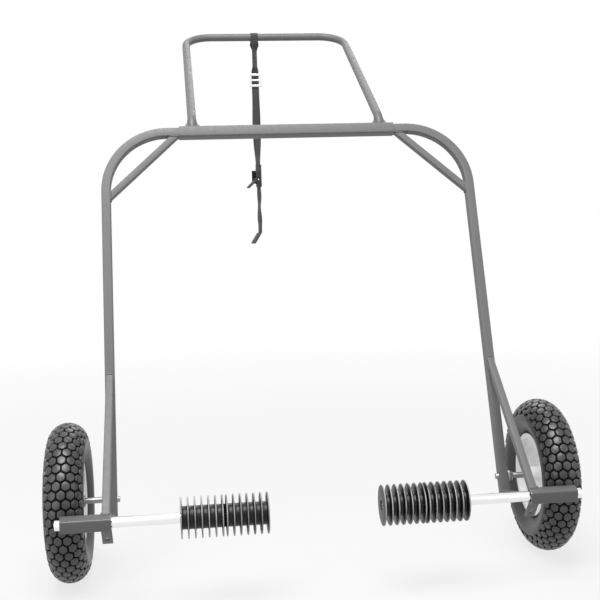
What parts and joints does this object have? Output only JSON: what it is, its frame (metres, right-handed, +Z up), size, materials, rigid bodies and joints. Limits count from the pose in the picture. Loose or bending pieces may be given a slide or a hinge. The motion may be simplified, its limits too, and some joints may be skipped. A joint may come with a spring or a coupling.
{
  "type": "game cart",
  "caption": "Two-wheeled straddle cart with a tubular arch, inward carrying arms with ribbed rubber grips, a long pull handle and a hanging tie-down strap.",
  "frame": {"origin": "on the floor under the middle of the cart's box, without the strap", "axes": "+X to the cart's right as seen from the arms' side, +Y to the handle side, +Z up"},
  "size_m": [1.3738, 1.3199, 1.5549],
  "materials": {
    "frame_paint": "satin",
    "sleeve_paint": "satin",
    "zinc_hardware": "satin",
    "plug_plastic": "matte",
    "tyre_rubber": "matte",
    "tube_rubber": "matte",
    "rim_paint": "gloss",
    "bearing_steel": "satin",
    "rod_chrome": "polished",
    "grip_rubber": "matte",
    "strap_webbing_cloth": "woven",
    "buckle_black": "satin"
  },
  "bodies": {
    "frame": {"crossbar": "frame_paint", "crossbar_weld_nuts": "zinc_hardware", "crossbar_set_bolts": "zinc_hardware", "leg_left": "frame_paint", "leg_right": "frame_paint", "leg_plugs": "plug_plastic", "corner_brace_left": "frame_paint", "corner_brace_right": "frame_paint", "handle_hoop": "frame_paint", "handle_gussets": "frame_paint", "front_brace_left": "frame_paint", "front_brace_right": "frame_paint", "lower_brace_left": "frame_paint", "lower_brace_right": "frame_paint", "arm_sleeve_left": "sleeve_paint", "arm_sleeve_right": "sleeve_paint", "tie_tab_left": "frame_paint", "tie_tab_right": "frame_paint", "arm_weld_nuts": "zinc_hardware", "arm_set_bolts": "zinc_hardware", "axle_left": "zinc_hardware", "axle_right": "zinc_hardware", "axle_jam_nuts": "zinc_hardware", "axle_snap_rings": "zinc_hardware", "axle_washers": "zinc_hardware", "axle_lock_nuts": "zinc_hardware"},
    "left_wheel": {"tyre_left": "tyre_rubber", "inner_tube_left": "tube_rubber", "rim_left": "rim_paint", "hub_left": "rim_paint", "bearings_left": "bearing_steel", "valve_left": "tube_rubber"},
    "right_wheel": {"tyre_right": "tyre_rubber", "inner_tube_right": "tube_rubber", "rim_right": "rim_paint", "hub_right": "rim_paint", "bearings_right": "bearing_steel", "valve_right": "tube_rubber"},
    "left_arm": {"arm_rod_left": "rod_chrome", "grip_outer_left": "grip_rubber", "grip_inner_left": "grip_rubber"},
    "right_arm": {"arm_rod_right": "rod_chrome", "grip_outer_right": "grip_rubber", "grip_inner_right": "grip_rubber"},
    "strap": {"strap_loop": "strap_webbing_cloth", "strap_slide": "zinc_hardware", "strap_webbing": "strap_webbing_cloth", "cam_buckle": "buckle_black", "cam_pin": "zinc_hardware", "strap_tail": "strap_webbing_cloth", "strap_end": "strap_webbing_cloth"},
    "cam_lever": {"cam_lever": "buckle_black"}
  },
  "joints": [
    {"name": "left_wheel_spin", "type": "hinge", "parent": "frame", "child": "left_wheel", "pos_m": [-0.63, -0.35453, 0.203], "axis": [1, 0, 0], "continuous": true},
    {"name": "right_wheel_spin", "type": "hinge", "parent": "frame", "child": "right_wheel", "pos_m": [0.63, -0.35453, 0.203], "axis": [1, 0, 0], "continuous": true},
    {"name": "left_arm_slide", "type": "slide", "parent": "frame", "child": "left_arm", "axis": [1, 0, 0], "range_m": [-0.15, 0.08]},
    {"name": "right_arm_slide", "type": "slide", "parent": "frame", "child": "right_arm", "axis": [-1, 0, 0], "range_m": [-0.15, 0.08]},
    {"name": "strap_swing", "type": "hinge", "parent": "frame", "child": "strap", "pos_m": [-0.036, 0.6448, 1.53996], "axis": [1, 0, 0], "range_deg": [-55, 150]},
    {"name": "cam_lever_pivot", "type": "hinge", "parent": "strap", "child": "cam_lever", "pos_m": [-0.04416, 0.641, 1.04596], "axis": [0.4226, -0.9063, 0], "range_deg": [-85, 20]}
  ]
}
